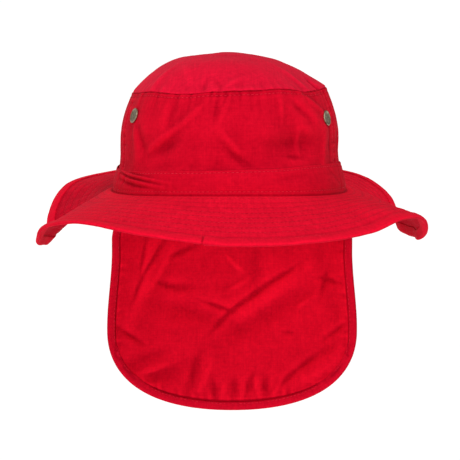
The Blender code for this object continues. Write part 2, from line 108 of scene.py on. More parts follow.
side = {
    "height": 75.5,
    "wall": 1.5,
    "cloth": 0.9,
    "seamTurns": (198, 342),
    "seamGap": 0.1,  # degrees from a side seam to the front panel's edge
    "seamUnderlap": 0.9,  # degrees that the back panel goes on under the front panel
    "seamSunk": 0.95,
    "seamStitches": (2.4, 7.2),  # the rows beside each side seam
    "topstitch": 2.2,  # the row under the tip seam
    "underTip": 0.9,  # the panels end this far above the tip seam, turned in
    "calmTop": 0.12,  # share of the height below the tip in which the larger folds die out
    "perDegree": 1.55,  # mm round the crown for each degree
    # rise, and how far the side has drawn in from the opening to the tip
    "profile": [
        (0, 0), (0.10, 0.06), (0.20, 0.20), (0.28, 0.31), (0.45, 0.38),
        (0.62, 0.40), (0.75, 0.51), (0.88, 0.73), (1, 1),
    ],
    # turn, rise, slant, then length, width and depth as shares of the height
    "swells": [
        (316, 0.84, -48, 0.34, 0.10, 0.030), (303, 0.62, -40, 0.30, 0.16, -0.030),
        (297, 0.36, 15, 0.40, 0.14, -0.022), (262, 0.55, 55, 0.35, 0.15, 0.018),
        (240, 0.60, 65, 0.35, 0.12, -0.020), (215, 0.45, 80, 0.40, 0.12, 0.016),
        (150, 0.50, 70, 0.35, 0.15, -0.022), (110, 0.60, 40, 0.40, 0.16, 0.020),
        (75, 0.45, -50, 0.40, 0.16, -0.022), (30, 0.55, -70, 0.35, 0.13, 0.018),
    ],
    "wanderReach": 14,  # the cloth beside the tip seam follows its wandering over this much
    # turn, how far the tip seam wanders up or down
    "seamLine": [
        (0, 0.2), (40, -0.8), (75, 0.7), (110, -0.9), (150, 0.6), (180, 0), (200, 0.3), (219, 0.6),
        (233, -1.6), (248, -2.8), (256, -2.2), (270, -2.3), (285, -1.9), (298, -0.8), (308, -1.2),
        (321, -2.7), (331, -1.5), (345, 0),
    ],
    # turn, height, slant, length, width, depth, keen, all in mm and degrees
    "creases": [
        (322, 66, -33, 17, 3.0, 1.9, 0.3), (313, 59, -38, 15, 3.6, -1.3, 0.3),
        (302, 36, 4, 25, 9, -3.0, 0.1), (309, 38, 88, 12, 3.2, 0.8, 0.2),
        (314, 47, -26, 6, 3, 1.0, 0.3), (306, 27, -5, 8, 2, -0.9, 0.5),
        (299, 64, 88, 9, 2.2, 1.0, 0.4), (271, 36, -50, 13, 3, 1.7, 0.3), (275, 26, -35, 10, 4, -1.9, 0.2),
        (250, 58, 42, 12, 3, 1.2, 0.3), (235, 43, 31, 17, 3.2, 1.8, 0.3), (234, 34, 22, 13, 5, -1.7, 0.1),
        (219, 41, -62, 11, 4, -1.2, 0.2), (213, 45, -75, 12, 3.4, 1.0, 0.2), (238, 61, 80, 10, 4, -1.1, 0.2),
        (263, 62, 85, 9, 3, -0.9, 0.3), (268, 63, 70, 8, 2, 0.9, 0.4), (327, 30, 80, 18, 4, 1.0, 0.2),
        (335, 40, 85, 20, 3, -1.1, 0.3), (188, 44, 70, 14, 3, -1.1, 0.3), (352, 40, 75, 14, 3, 1.1, 0.3),
        (150, 40, 60, 18, 4, -1.5, 0.3), (128, 34, -35, 16, 3, 1.2, 0.4), (95, 46, 25, 18, 4, -1.4, 0.2),
        (70, 34, 60, 16, 3, 1.2, 0.4), (48, 42, -50, 16, 4, -1.4, 0.3), (20, 36, 75, 14, 3, 1.2, 0.4),
        (5, 48, -60, 12, 3, -1.0, 0.3), (175, 44, -70, 14, 3, 1.0, 0.3),
    ],
}

tip = {
    "width": 146,
    "length": 168,
    "dome": 27.5,
    "fullness": 2.65,
    "lean": 0.6,
    "saddle": 5.5,
    "tilt": 2,
    # x, y, slant, length, width, depth, keen on the plan of the tip
    "creases": [
        (-17, -74, 62, 7, 3.0, -0.8, 0.1), (-9, -75, 115, 6, 2.8, -0.7, 0.1),
        (3, -76, 40, 7, 2.2, 0.9, 0.3), (-30, -58, 100, 14, 3.0, 1.0, 0.3),
        (65, -33, 138, 9, 3.2, -3.4, 0.3), (50, -46, 150, 14, 3.5, 1.3, 0.2),
        (-50, -44, 40, 16, 4, 1.0, 0.2), (20, -30, 160, 30, 8, 0.9, 0.1),
        (-20, 10, 70, 34, 9, -1.0, 0.1), (28, 40, 110, 26, 7, 1.0, 0.2),
        (-40, 46, 30, 22, 6, -1.0, 0.2), (0, 66, 10, 14, 3, 1.0, 0.4),
    ],
}

brim = {
    "width": 76,
    "board": 1.2,  # the thickness between its two faces
    "gap": 0.3,  # it starts this far under the crown
    "seat": 3.0,  # the first part under the crown stays level
    "sunk": 0.2,  # its top lies this far under the solid's
    "rows": 9,
    "firstRow": 9.5,
    "rowStep": 7.0,
    "groove": 0.36,
    "bindingWidth": 8.6,
    "bindingStitch": 1.5,  # from the tape's inner edge
    "bindingJoin": 263.5,  # the turn where the tape's ends overlap
    "curlPower": 4,
    "bend": 0.12,  # share of the width in which it bends down to its droop
    # turn, droop where it leaves the crown, how far it has curled under at the edge, lean
    "sections": [
        (0, 18, 90, 0), (12, 21, 84, 0), (25, 22, 60, -2), (38, 11, 15, -4), (52, 3, 0, -3),
        (70, 1, 0, 0), (90, 2, 0, 0), (110, 2, 0, 2), (128, 3, 0, 5), (142, 7, 4, 7),
        (155, 23, 6, 5), (168, 39, 5, -2), (182, 31, 42, -9), (194, 26, 46, -8),
        (204, 20, 36, -5), (214, 15, 10, -3), (230, 12, -5, 0), (250, 17, 0, 0), (270, 23, 0, 0),
        (290, 22, 0, 0), (308, 15, 8, 0), (320, 7, 12, 0), (331, 8, 18, 0), (342, 15, 46, 2),
        (352, 18, 84, 2),
    ],
}

flap = {
    "width": 216,
    "drop": 193.5,
    "tuck": 8,
    "inset": 1.9,
    "cloth": 0.7,
    "corner": 72,
    "cornerPower": 2.1,
    "intoBinding": 1.7,  # its cloth ends this far inside the tape's fold
    "bindingWidth": 7.2,
    "bindingStitch": 1.4,  # from the tape's inner edge
    "bindingCore": 1.0,  # the room between the tape's two sides
    "leaves": 2.2,  # the drop where it starts to leave the head's shape
    "radius": 170,
    "sway": 2.2,
    "relax": 46,
    "flare": 0.047,  # how much narrower it hangs in its upper part
    "flareFrom": (56, 64),  # the drop where it starts to widen, and over how much it does
    "calmEdge": (8, 11.5),  # its larger folds begin this far inside the edge, and grow over this much
    # across as a share of half the width, then down, length, width and depth as shares of the drop
    "swells": [
        (0.35, 0.55, 32, 0.30, 0.050, 0.016), (-0.30, 0.57, -17, 0.25, 0.050, 0.014),
        (0.70, 0.78, 48, 0.22, 0.050, -0.014), (-0.60, 0.84, 15, 0.20, 0.050, 0.012),
        (-0.70, 0.42, 75, 0.22, 0.045, -0.014), (0.75, 0.40, -80, 0.22, 0.050, 0.012),
    ],
    # across and down in mm, slant, length, width, depth towards the head, keen
    "creases": [
        (41, 81, 32, 16, 2.6, -2.0, 0.5), (19, 96, 36, 14, 2.6, -2.3, 0.5),
        (4, 107, 40, 8, 2.4, -2.2, 0.5), (-8, 118, 46, 12, 2.6, -1.5, 0.5),
        (-11, 107, -20, 13, 2.6, -1.7, 0.4), (28, 100, 36, 34, 7, 1.6, 0.1),
        (-57, 87, -20, 9, 3, -1.3, 0.4), (-45, 90, -2, 14, 5, -1.9, 0.1),
        (-68, 65, 56, 15, 2.8, -1.9, 0.4), (-80, 87, 68, 13, 2.8, -1.6, 0.4),
        (-42, 60, 20, 12, 2.8, -1.7, 0.4), (-78, 64, 80, 15, 2.6, -1.4, 0.4),
        (-61, 73, 60, 20, 4, 1.5, 0.2), (85, 82, -8, 9, 3, -1.2, 0.4),
        (80, 84, 70, 14, 3, -1.2, 0.3), (-86, 127, -34, 13, 2.6, -1.7, 0.4),
        (-67, 156, 14, 17, 3.2, 1.5, 0.2), (-70, 146, 14, 18, 6, -1.7, 0.1),
        (89, 122, 37, 14, 2.6, -1.6, 0.4), (63, 150, 40, 12, 2.8, -1.7, 0.4),
        (46, 165, 43, 13, 2.8, -1.4, 0.4), (80, 138, 40, 16, 6, -1.4, 0.1),
        (47, 127, -3, 6, 1.8, -0.5, 0.5), (7, 88, 30, 8, 2.2, 1.0, 0.4),
        (61, 102, 35, 8, 2.2, 0.9, 0.4), (2, 71, -42, 9, 2.4, 1.0, 0.4),
        (20, 70, 88, 26, 7.0, -1.0, 0.1), (-31, 160, 72, 15, 4.6, -1.5, 0.1),
        (-23, 167, 66, 12, 2.2, 0.9, 0.3), (-15, 174, 100, 8, 3.6, -1.3, 0.2),
        (-7, 176, 82, 6, 2.0, 0.9, 0.3), (2, 173, 86, 7, 3.8, -1.3, 0.2),
        (9, 178, 76, 5, 2.0, 0.9, 0.3), (15, 170, 66, 10, 3.4, -1.1, 0.2),
        (21, 174, 102, 9, 2.0, 0.9, 0.3), (28, 172, 96, 8, 3.6, -1.3, 0.2),
        (38, 173, 60, 8, 2.2, 0.9, 0.3),
    ],
}


def oval(turn, halfWidth, halfLength):
    angle = np.radians(turn)
    return np.stack([halfWidth * np.cos(angle), halfLength * np.sin(angle), angle * 0], -1)


def ovalNormal(turn, halfWidth, halfLength):
    angle = np.radians(turn)
    out = np.stack([np.cos(angle) / halfWidth, np.sin(angle) / halfLength, angle * 0], -1)
    return out / np.linalg.norm(out, axis=-1, keepdims=True)


# How far apart two turns are on the crown's side, in mm
def sideWay(turn, other):
    return turnBetween(turn, other) * side["perDegree"]


def openingLevel(turn):
    return head["saddle"] * np.sin(np.radians(turn)) ** 2


# How much higher or lower than its plain line the sewn tip seam runs, in mm
def seamWander(turn):
    return curveThrough(side["seamLine"], 1, turn, True)


def tipLevel(turn):
    angle = np.radians(turn)
    return side["height"] + tip["saddle"] * np.sin(angle) ** 2 + tip["tilt"] * np.cos(angle)


def sideHalves(rise):
    drawnIn = curveThrough(side["profile"], 1, rise)
    return (
        (head["width"] + (tip["width"] - head["width"]) * drawnIn) / 2,
        (head["length"] + (tip["length"] - head["length"]) * drawnIn) / 2,
    )


def sideFace(turn, rise):
    halfWidth, halfLength = sideHalves(rise)
    radius = (head["width"] + head["length"]) / 4
    across = lambda at: np.radians(turnBetween(turn, at)) * radius / side["height"]
    swell = foldField(side["swells"], across, lambda at: rise - at) * side["height"]
    swell *= smooth((rise * side["height"] - flap["tuck"]) / band["height"])
    swell *= smooth((1 - rise) / side["calmTop"])
    point = oval(turn, halfWidth, halfLength) + ovalNormal(turn, halfWidth, halfLength) * swell[..., None]
    point[..., 2] = openingLevel(turn) * (1 - rise) + tipLevel(turn) * rise
    return point


def tipFace(turn, inward):
    outward = 1 - inward
    point = oval(turn, tip["width"] / 2 * outward, tip["length"] / 2 * outward)
    fullness = tip["fullness"] - tip["lean"] * np.cos(np.radians(turn))
    lift = tip["dome"] * (1 - outward**fullness)
    point[..., 2] = side["height"] + (tipLevel(turn) - side["height"]) * outward**2 + lift
    return point


def brimFace(turn, reach):
    droop, curl, lean = (np.radians(curveThrough(brim["sections"], i, turn, True)) for i in (1, 2, 3))
    bend, steps = brim["width"] * brim["bend"], 24
    out, down = 0.0, 0.0
    for step in range(steps):
        length = reach * (step + 0.5) / steps
        slope = droop * smooth((length - brim["seat"]) / bend)
        slope += curl * np.abs(length / brim["width"]) ** brim["curlPower"]
        out += np.cos(slope) * reach / steps
        down += np.sin(slope) * reach / steps
    normal = ovalNormal(turn, head["width"] / 2, head["length"] / 2)
    swung = np.stack(
        [
            normal[..., 0] * np.cos(lean) - normal[..., 1] * np.sin(lean),
            normal[..., 0] * np.sin(lean) + normal[..., 1] * np.cos(lean),
            lean * 0,
        ],
        -1,
    )
    point = oval(turn, head["width"] / 2, head["length"] / 2) + swung * out[..., None]
    point[..., 2] = openingLevel(turn) - brim["gap"] - down
    return point


# The turn that lies a way along from the middle of the back, walked in short steps
def headTurn(along):
    halfWidth, halfLength = head["width"] / 2 - flap["inset"], head["length"] / 2 - flap["inset"]
    turn, steps = along * 0 + 90.0, 40
    for _ in range(steps):
        angle = np.radians(turn)
        speed = np.hypot(halfWidth * np.sin(angle), halfLength * np.cos(angle))
        turn -= np.degrees(np.abs(along) / steps / speed)
    return np.where(along > 0, turn, 180 - turn)


# The drop of the hem at a share of the flap's half width
def flapHem(across):
    across = np.clip(np.abs(across), 0, 1)
    corner = (1 - across ** flap["cornerPower"]) ** (1 / flap["cornerPower"])
    return flap["drop"] - flap["corner"] * (1 - corner)


def flapFace(along, drop):
    turn = headTurn(along)
    halfWidth, halfLength = sideHalves(-drop / side["height"])
    atHead = oval(turn, halfWidth - flap["inset"], halfLength - flap["inset"])
    flared = smooth((drop - flap["flareFrom"][0]) / flap["flareFrom"][1])
    angle = along * (1 - flap["flare"] * (1 - flared)) / flap["radius"]
    hanging = np.stack([np.sin(angle), np.cos(angle) - 1, angle * 0], -1) * flap["radius"]
    hanging += np.array([flap["sway"], head["length"] / 2 - flap["inset"], 0])
    free = smooth((drop - flap["leaves"]) / flap["relax"])
    point = atHead * (1 - free[..., None]) + hanging * free[..., None]
    across = lambda at: (along - at * flap["width"] / 2) / flap["drop"]
    swell = foldField(flap["swells"], across, lambda at: at - drop / flap["drop"])
    margin, growth = flap["calmEdge"]
    calm = smooth((flapInside(along, drop) - margin) / growth)
    point[..., 1] += swell * flap["drop"] * calm * smooth(drop / flap["relax"])
    point[..., 2] = openingLevel(turn) * (1 - free) - drop
    return point


# How far a place on the flap is from its free edge
def flapInside(along, drop):
    edge = flapHem(along / (flap["width"] / 2)) - drop
    return np.maximum(np.minimum(edge, flap["width"] / 2 - np.abs(along)), 0)


# A face's points, pushed off it by a lift that may differ from point to point, and its normals
def pushed(face, u, v, lift, stepU=0.05, stepV=1e-4):
    ahead = face(u + stepU, v) - face(u - stepU, v)
    aside = face(u, v + stepV) - face(u, v - stepV)
    normal = np.cross(ahead, aside)
    size = np.linalg.norm(normal, axis=-1, keepdims=True)
    normal = normal / np.maximum(size, 1e-12)
    return face(u, v) + normal * np.asarray(lift)[..., None], normal


# Seams, puckers and wrinkles, in mm off the plain face
def sideRelief(turn, rise):
    up = rise * side["height"]
    toTip = side["height"] - up
    lift = foldField(side["creases"], lambda at: sideWay(turn, at), lambda at: up - at)
    lift += 0.40 * lumps(turn / 15, up / 17, 24, 11) + 0.16 * lumps(turn / 6, up / 7, 60, 12)
    lift += 0.55 * lumps(turn / 2, up / 30, 180, 13) * np.exp(-toTip / 8)  # the tip seam gathers it
    lift -= 0.30 * ridge(toTip - side["topstitch"], 0.7)
    lift -= 1.2 * smooth((0.4 - toTip) / 1.1)  # its edge turns in under the tip
    near, far = side["seamStitches"]
    for seed, seam in enumerate(side["seamTurns"]):
        off = np.abs(sideWay(turn, seam))
        lift += 0.50 * lumps(turn / 6, up / 3.4, 60, 14 + seed) * ridge(off, 6)
        lift = lift - 0.8 * ridge(off, 0.9) - 0.25 * ridge(off - near, 0.6) - 0.22 * ridge(off - far, 0.6)
    for snapTurn, snapRise in snaps["places"]:
        off = np.hypot(sideWay(turn, snapTurn), (rise - snapRise) * side["height"])
        lift -= 0.35 * ridge(off, 8)
    return lift * smooth(up / 6 + 0.3)


def sideSkin(turn, rise, lift=0.0):
    points, normals = pushed(sideFace, turn, rise, side["wall"] + lift + sideRelief(turn, rise))
    points[..., 2] += seamWander(turn) * ridge((1 - rise) * side["height"], side["wanderReach"])
    return points, normals


def tipSkin(turn, inward):
    x, y, _ = np.moveaxis(tipFace(turn, inward), -1, 0)
    toSeam = inward * tip["width"] / 2
    relief = foldField(tip["creases"], lambda at: x - at, lambda at: y - at)
    relief += 0.45 * lumps(x / 16 + 40, y / 16 + 40, 90, 21)
    relief += 0.15 * lumps(x / 6 + 40, y / 6 + 40, 90, 22)
    relief += 0.5 * lumps(turn / 2.5, toSeam / 30, 144, 23) * np.exp(-toSeam / 7)
    relief -= 0.4 * ridge(toSeam, 0.7)
    # In the middle of the front it hangs over the seam
    relief += 0.6 * ridge(toSeam - 1.2, 2.0) * ridge(turnBetween(turn, 281), 12)
    pole = inward > 1 - 1e-6
    points, normals = pushed(tipFace, turn, np.minimum(inward, 0.999), side["wall"] + relief)
    points[..., 2] += seamWander(turn) * ridge(toSeam, side["wanderReach"])
    top = side["height"] + tip["dome"] + side["wall"]
    points[pole] = np.array([0, 0, 1]) * (top + relief[pole])[:, None]
    return points, normals


band = {
    "height": 18.5,
    "cloth": 0.8,
    "off": 2.65,  # its face lies this far outside the crown's inner face
    "topStitch": 1.7,  # from its upper edge
    "footStitch": 2.6,  # above the brim seam
    "intoBrim": 1.0,  # it goes down this far into the brim's seam
    # turn, and how high the band's upper edge runs there
    "tops": [
        (20, 19), (90, 18.5), (160, 17.6), (198, 16.8), (235, 17), (270, 17.2), (295, 18.2),
        (312, 20.2), (328, 21.5), (345, 21),
    ],
    # turn, height, slant, length, width, depth, keen
    "creases": [
        (214, 16.9, -8, 22, 1.2, -1.3, 0.4), (216, 14.8, -8, 24, 1.3, 1.9, 0.3),
        (217, 12.6, -9, 24, 1.2, -1.6, 0.4), (217, 10.4, -8, 22, 1.4, 1.7, 0.3),
        (216, 7.8, -8, 20, 1.5, -1.1, 0.3), (207, 12, 60, 5, 1.4, -1.0, 0.5),
        (300, 11, 4, 12, 2.4, -0.6, 0.3), (270, 12, 3, 16, 3, 0.3, 0.2), (335, 10, -30, 10, 1.6, -0.6, 0.4),
        (60, 10, 12, 16, 2, -0.6, 0.4), (120, 10, -14, 16, 2, 0.5, 0.4), (12, 10, 25, 12, 2, -0.6, 0.4),
    ],
}

snaps = {
    "places": [(210, 0.78), (331.5, 0.725)],
    "radius": 5.8,
    "height": 1.7,
    "rim": 0.9,
    "dish": 0.42,
    "dot": 1.1,
}


def bandSkin(turn, rise, lift=0.0):
    up = rise * side["height"]
    relief = foldField(band["creases"], lambda at: sideWay(turn, at), lambda at: up - at)
    relief += 0.22 * lumps(turn / 9, up / 9, 40, 31) + 0.12 * lumps(turn / 3, up / 5, 120, 32)
    relief -= 0.22 * ridge(band["height"] - up - band["topStitch"], 0.55)
    relief -= 0.25 * ridge(up - band["footStitch"], 0.6)
    relief += 0.15 * np.sin(np.pi * np.clip(up / band["height"], 0, 1))
    for seam in side["seamTurns"]:
        off = np.abs(sideWay(turn, seam))
        relief = relief - 0.5 * ridge(off, 0.8) + 0.3 * lumps(turn / 6, up / 3, 60, 33) * ridge(off, 5)
    rise = rise * curveThrough(band["tops"], 1, turn, True) / band["height"]
    return pushed(sideFace, turn, rise, band["off"] + lift + np.maximum(relief, -1.0))


# Where the stitched rows lie across the brim
brimRows = [brim["firstRow"] + brim["rowStep"] * i for i in range(brim["rows"])]


def brimQuilt(turn, reach):
    groove = sum(ridge(reach - row, 0.8) for row in brimRows)
    fade = smooth((brim["width"] - 1 - reach) / 8)
    gathers = 0.16 * lumps(turn / 1.5, reach / 7, 240, 41) * fade
    return (-brim["groove"] * groove + gathers) * smooth((reach - 4) / 3)


def brimSkin(turn, reach, lift=0.0):
    wave = 0.5 * lumps(turn / 12, reach / 30, 30, 43) + 0.2 * lumps(turn / 5, reach / 12, 72, 44)
    wave *= smooth((reach - 6) / 14)
    points, normals = pushed(brimFace, turn, reach, -(lift + wave - brim["sunk"]), stepV=1e-2)
    return points, -normals


def flapRelief(along, drop):
    lift = foldField(flap["creases"], lambda at: along - at, lambda at: at - drop)
    lift += 0.35 * lumps(along / 17 + 50, drop / 17 + 5, 99, 51)
    lift += 0.12 * lumps(along / 6 + 50, drop / 6 + 5, 99, 52)
    pastTape = flapInside(along, drop) - flap["bindingWidth"]
    # The tape's seam puckers the cloth beside it, along both sides and above the hem
    beside = lumps(along / 30 + 50, drop / 3.6 + 5, 99, 53) * (np.abs(along) > 60)
    above = lumps(along / 3.6 + 50, drop / 30 + 5, 99, 54) * smooth((drop - 150) / 20)
    lift += 0.5 * (beside + above) * ridge(np.maximum(pastTape, 0), 6)
    dip = 0.65 * ridge(pastTape - 0.4, 0.9) * (pastTape > -2)
    return lift * smooth((pastTape + 1.0) / 3.5) * smooth((drop - 3) / 25) - dip


def flapSkin(along, drop, toHead=0.0):
    points, normals = pushed(flapFace, along, drop, -(toHead + flapRelief(along, drop)), 1e-2, 1e-2)
    return points, -normals


def newObject(name, bm, material):
    mesh = bpy.data.meshes.new(name)
    bm.to_mesh(mesh)
    bm.free()
    mesh.shade_smooth()
    mesh.materials.append(material)
    made = bpy.data.objects.new(name, mesh)
    bpy.context.scene.collection.objects.link(made)
    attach(made, "root")
    return made


# How far each point of a grid stands out of its surroundings: below 0 in a crease, above 0 on a ridge
def foldsOf(points, normals, around):
    folds = 0.0
    for cells, depth in ((2, 0.30), (7, 1.7)):  # small wrinkles, then larger folds
        mean, count = points, 2 * cells + 1
        for axis in (0, 1):
            if around and axis == 0:
                padded = np.concatenate([mean[-cells - 1 : -1], mean, mean[1 : cells + 1]])
            else:
                pads = [(cells, cells) if k == axis else (0, 0) for k in range(3)]
                padded = np.pad(mean, pads, mode="edge")
            size = mean.shape[axis]
            mean = sum(np.take(padded, range(k, k + size), axis) for k in range(count)) / count
        folds += ((points - mean) * normals).sum(-1) / depth
    return np.clip(folds, -1.5, 1.0)


# A grid laid on a skin: place(u, v) gives points and normals, flat(u, v) the cut pattern for the
# weave, and the darkening function what darkens its colour on top of the folds' painted shade. The grid's
# ends meet where it runs around the hat or is a ring in section, and cap closes the ends of a ring.
def layCloth(name, place, us, vs, flat, material, around=False, ring=False, cap=False, darkening=None):
    bm = bmesh.new()
    uvLayer = bm.loops.layers.uv.new("cut")
    bmesh.ops.create_grid(bm, x_segments=len(us) - 1, y_segments=len(vs) - 1, size=0.5)
    co = np.array([vert.co[:2] for vert in bm.verts]) + 0.5
    i = np.rint(co[:, 0] * (len(us) - 1)).astype(int)
    j = np.rint(co[:, 1] * (len(vs) - 1)).astype(int)
    u, v = us[i], vs[j]
    points, normals = place(u, v)
    grid = np.zeros((2, len(us), len(vs), 3))
    grid[0, i, j], grid[1, i, j] = points, normals
    # The fold values paint shade into the creases and a paler tone onto the ridges of the cloth's colour
    folds = foldsOf(grid[0], grid[1], around)[i, j] + (darkening(u, v) if darkening else 0)
    points = points * mm
    foldLayer = bm.verts.layers.float.new("fold")
    cut = np.stack(flat(u, v), -1) * mm
    for vert, point, fold in zip(bm.verts, points, folds):
        vert.co, vert[foldLayer] = point, fold
    bm.verts.index_update()
    for face in bm.faces:
        for loop in face.loops:
            loop[uvLayer].uv = cut[loop.vert.index]
    if around or ring:
        edge = [vert for vert in bm.verts if vert.is_boundary]
        bmesh.ops.remove_doubles(bm, verts=edge, dist=1e-6)
    if cap:
        bmesh.ops.holes_fill(bm, edges=[e for e in bm.edges if e.is_boundary])
    bmesh.ops.dissolve_degenerate(bm, edges=bm.edges, dist=1e-7)
    bmesh.ops.recalc_face_normals(bm, faces=bm.faces)
    return newObject(name, bm, material)


# An open sheet's outer side points away from a place inside the hat, and its thickness goes inwards
def finishSheet(made, inside, thickness, node):
    mesh = made.data
    if sum((poly.center - Vector(inside)).dot(poly.normal) for poly in mesh.polygons) < 0:
        mesh.flip_normals()
    shell = made.modifiers.new("thickness", "SOLIDIFY")
    shell.thickness, shell.offset, shell.use_even_offset = thickness * mm, -1, True
    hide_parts(node)
    return made


# Even places from first to last, about a step apart
def spread(first, last, step):
    return np.linspace(first, last, max(2, int(round(abs(last - first) / step)) + 1))


class Wire:  # one socket of a material, used as a number in sums
    def __init__(self, weave, socket):
        self.weave, self.socket = weave, socket

    def sum(self, operation, first, second):
        return self.weave.node("ShaderNodeMath", {"operation": operation}, {0: first, 1: second})

    def __add__(self, other):
        return self.sum("ADD", self, other)

    __radd__ = __add__

    def __mul__(self, other):
        return self.sum("MULTIPLY", self, other)

    __rmul__ = __mul__

    def __sub__(self, other):
        return self.sum("SUBTRACT", self, other)

    def __rsub__(self, other):
        return self.sum("SUBTRACT", other, self)

    def of(self, operation, other=0.0):
        return self.sum(operation, self, other)


class Finish:  # one material and its nodes
    def __init__(self, name, roughness=0.8, metallic=0.0, constants=None):
        self.material = bpy.data.materials.new(name)
        self.material.use_nodes = True
        self.tree = self.material.node_tree
        self.shader = self.tree.nodes["Principled BSDF"]
        self.shader.inputs["Roughness"].default_value = roughness
        self.shader.inputs["Metallic"].default_value = metallic
        for name, value in (constants or {}).items():
            self.shader.inputs[name].default_value = value

    def node(self, kind, settings=None, sockets=None, out=0):
        made = self.tree.nodes.new(kind)
        for key, value in (settings or {}).items():
            if key == "stops":
                ramp = made.color_ramp.elements
                while len(ramp) < len(value):
                    ramp.new(0.5)
                for stop, (at, colour) in zip(ramp, value):
                    stop.position, stop.color = at, colour
            else:
                setattr(made, key, value)
        for key, value in (sockets or {}).items():
            if isinstance(value, Wire):
                self.tree.links.new(value.socket, made.inputs[key])
            else:
                made.inputs[key].default_value = value
        return Wire(self, made.outputs[out])

    def mix(self, factor, first, second):
        return self.node("ShaderNodeMix", {"data_type": "RGBA"}, {0: factor, 6: first, 7: second}, 2)

    def noise(self, place, scale, detail=2.0, roughness=0.5):
        sockets = {"Vector": place, "Scale": scale, "Detail": detail, "Roughness": roughness}
        return self.node("ShaderNodeTexNoise", None, sockets)

    def bump(self, strength, distance, height):
        sockets = {"Strength": strength, "Distance": distance, "Height": height}
        return self.node("ShaderNodeBump", None, sockets)

    def feed(self, **links):
        for name, wire in links.items():
            self.tree.links.new(wire.socket, self.shader.inputs[name.replace("_", " ")])


def rgba(colour, factor=1.0):
    return tuple(min(1.0, c * factor) for c in colour) + (1.0,)


cotton = {
    "crown": {"red": (0.56, 0.0005, 0.0150), "pitch": 0.55, "bump": 0.30, "sheen": 0.035, "foldShadeAndWear": 0.28},
    # The tip is the crown's canvas drawn lighter and pinker, as painted light from above
    "tip": {"red": (0.71, 0.0030, 0.0290), "pitch": 0.55, "bump": 0.30, "sheen": 0.05, "foldShadeAndWear": 0.22},
    "brim": {"red": (0.74, 0.0022, 0.0230), "pitch": 0.55, "bump": 0.32, "sheen": 0.022, "foldShadeAndWear": 0.26},
    "flap": {"red": (0.67, 0.0008, 0.0160), "pitch": 0.42, "bump": 0.22, "sheen": 0.015, "foldShadeAndWear": 0.28},
    "tape": {"red": (0.70, 0.0018, 0.0210), "pitch": 0.48, "bump": 0.26, "sheen": 0.03, "foldShadeAndWear": 0.20},
    # How much each of these varies the dye
    "slub": 0.20,
    "mottle": 0.14,
    "fuzz": 0.26,
    "weave": 0.10,
    "grain": 0.14,
    # The deepest red is painted shade in a crease; the palest is painted highlight and wear on a ridge
    "deepest": 0.60,  # the red times this in a crease
    "palest": 1.30,  # and times this on a worn ridge
}


# Plain-woven cotton: yarns over and under each other, thicker yarns here and there, a cloudy dye, and
# painted shade in its creases with a paler, partly painted highlight, on its ridges
def cottonFinish(name, kind):
    look = cotton[kind]
    constants = {
        "Sheen Weight": look["sheen"],
        "Sheen Roughness": 0.45,
        "Sheen Tint": (1.0, 0.50, 0.60, 1.0),
        "Specular IOR Level": 0.012,
    }
    f = Finish(name, 0.85, 0.0, constants)
    cut = f.node("ShaderNodeUVMap", {"uv_map": "cut"})
    inMm = f.node("ShaderNodeVectorMath", {"operation": "SCALE"}, {0: cut, "Scale": 1000.0})
    x = f.node("ShaderNodeSeparateXYZ", None, {0: inMm}, "X")
    y = f.node("ShaderNodeSeparateXYZ", None, {0: inMm}, "Y")
    a, b = (x * (math.pi / look["pitch"])).of("SINE"), (y * (math.pi / look["pitch"])).of("SINE")
    over = (a * b * 3.0 + 0.5).of("MAXIMUM", 0.0).of("MINIMUM", 1.0)
    yarns = a.of("ABSOLUTE") * over + b.of("ABSOLUTE") * (1.0 - over)

    def streaks(wide, tall, seed):
        at = f.node("ShaderNodeCombineXYZ", None, {0: x * wide, 1: y * tall, 2: seed})
        return f.noise(at, 1.0) - 0.5

    slubs = streaks(0.05, 1.3, 0.0) + streaks(1.3, 0.05, 7.0)
    place = f.node("ShaderNodeTexCoord", out="Object")
    clouds, fine = f.noise(place, 26.0, 3.0, 0.55) - 0.5, f.noise(place, 900.0) - 0.5
    fuzz = f.noise(place, 380.0) - 0.5
    fold = f.node("ShaderNodeAttribute", {"attribute_name": "fold"}, out="Fac")
    # The fold attribute paints shade into creases and a highlight with wear onto ridges
    shade = fold * look["foldShadeAndWear"] + slubs * (2 * cotton["slub"]) + clouds * (2 * cotton["mottle"])
    shade = shade + (yarns - 0.6) * cotton["weave"] + fine * cotton["grain"] + fuzz * (2 * cotton["fuzz"])
    share = (shade + 0.5).of("MAXIMUM", 0.0).of("MINIMUM", 1.0)
    litAndFaded = [c + 0.0022 for c in look["red"]]
    colour = f.mix(share, rgba(look["red"], cotton["deepest"]), rgba(litAndFaded, cotton["palest"]))
    bump = f.bump(look["bump"], 0.001, yarns * 0.10 + slubs * 0.10 + fine * 0.05)
    f.feed(Base_Color=colour, Roughness=clouds * 0.16 + fine * 0.10 + 0.84, Normal=bump)
    return f.material


def threadFinish():
    f = Finish("red_thread", 0.7, 0.0, {"Sheen Weight": 0.03, "Specular IOR Level": 0.03})
    ply = f.noise(f.node("ShaderNodeTexCoord", out="Object"), 700.0)
    red = f.mix(ply, (0.50, 0.003, 0.020, 1), (0.95, 0.035, 0.070, 1))
    f.feed(Base_Color=red, Normal=f.bump(0.3, 0.0002, ply))
    return f.material


